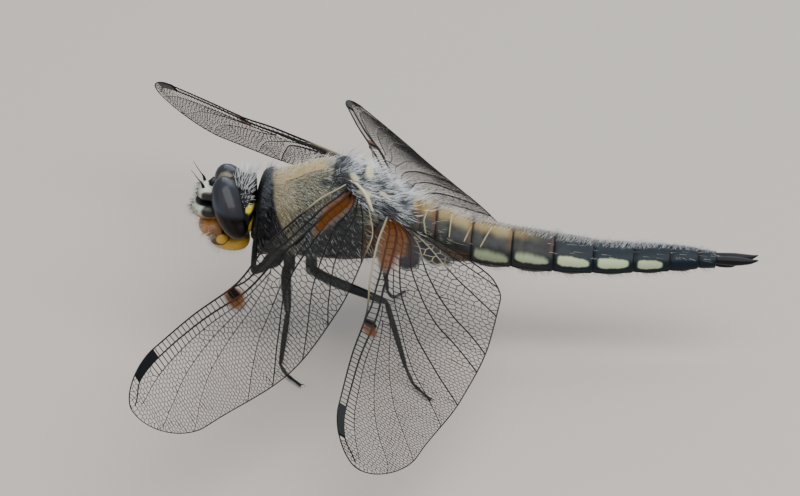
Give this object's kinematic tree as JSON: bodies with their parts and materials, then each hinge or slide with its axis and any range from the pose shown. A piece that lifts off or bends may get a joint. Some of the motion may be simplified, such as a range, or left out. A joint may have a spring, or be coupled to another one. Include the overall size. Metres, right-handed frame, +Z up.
{
  "type": "dragonfly",
  "caption": "Still model of a perched chaser dragonfly: large eyes, hairy thorax, tapering ringed abdomen, clear netted wings drawn forward and down, black legs.",
  "frame": {"origin": "middle of the bounding box on the floor that the feet stand on", "axes": "+Z up, +Y from the head towards the tail, +X to the animal's left, along the spread wings"},
  "size_m": [0.0734, 0.0548, 0.0168],
  "materials": {
    "eye": "smooth, glossy compound eye, grey-brown above and near black below",
    "face": "satin ochre to orange-yellow face plates",
    "frons": "pale whitish-green frons",
    "head": "black head capsule, prothorax and feelers",
    "thorax": "olive-brown thorax under dense pale hair",
    "abdomen": "olive-grey rings with dark joints and pale side marks",
    "abdomen_dark": "blue-black rear rings and claspers",
    "wing": "clear membrane with dark veins, amber base streaks and a dark hindwing base",
    "leg": "glossy black legs with fine spines"
  },
  "bodies": {
    "root": {"abdomen_1": "abdomen", "abdomen_10": "abdomen_dark", "abdomen_2": "abdomen", "abdomen_3": "abdomen", "abdomen_4": "abdomen", "abdomen_5": "abdomen", "abdomen_6": "abdomen", "abdomen_7": "abdomen_dark", "abdomen_8": "abdomen_dark", "abdomen_9": "abdomen_dark", "antenna_left": "head", "antenna_right": "head", "cercus_left": "abdomen_dark", "cercus_right": "abdomen_dark", "clypeus": "face", "epiproct": "abdomen_dark", "eye_left": "eye", "eye_right": "eye", "frons": "frons", "head": "head", "labium": "face", "labrum": "face", "leg_fore_left_femur": "leg", "leg_fore_left_tarsus": "leg", "leg_fore_left_tibia": "leg", "leg_fore_right_femur": "leg", "leg_fore_right_tarsus": "leg", "leg_fore_right_tibia": "leg", "leg_hind_left_femur": "leg", "leg_hind_left_tarsus": "leg", "leg_hind_left_tibia": "leg", "leg_hind_right_femur": "leg", "leg_hind_right_tarsus": "leg", "leg_hind_right_tibia": "leg", "leg_mid_left_femur": "leg", "leg_mid_left_tarsus": "leg", "leg_mid_left_tibia": "leg", "leg_mid_right_femur": "leg", "leg_mid_right_tarsus": "leg", "leg_mid_right_tibia": "leg", "prothorax": "head", "thorax": "thorax", "wing_fore_left": "wing", "wing_fore_right": "wing", "wing_hind_left": "wing", "wing_hind_right": "wing"}
  },
  "joints": []
}
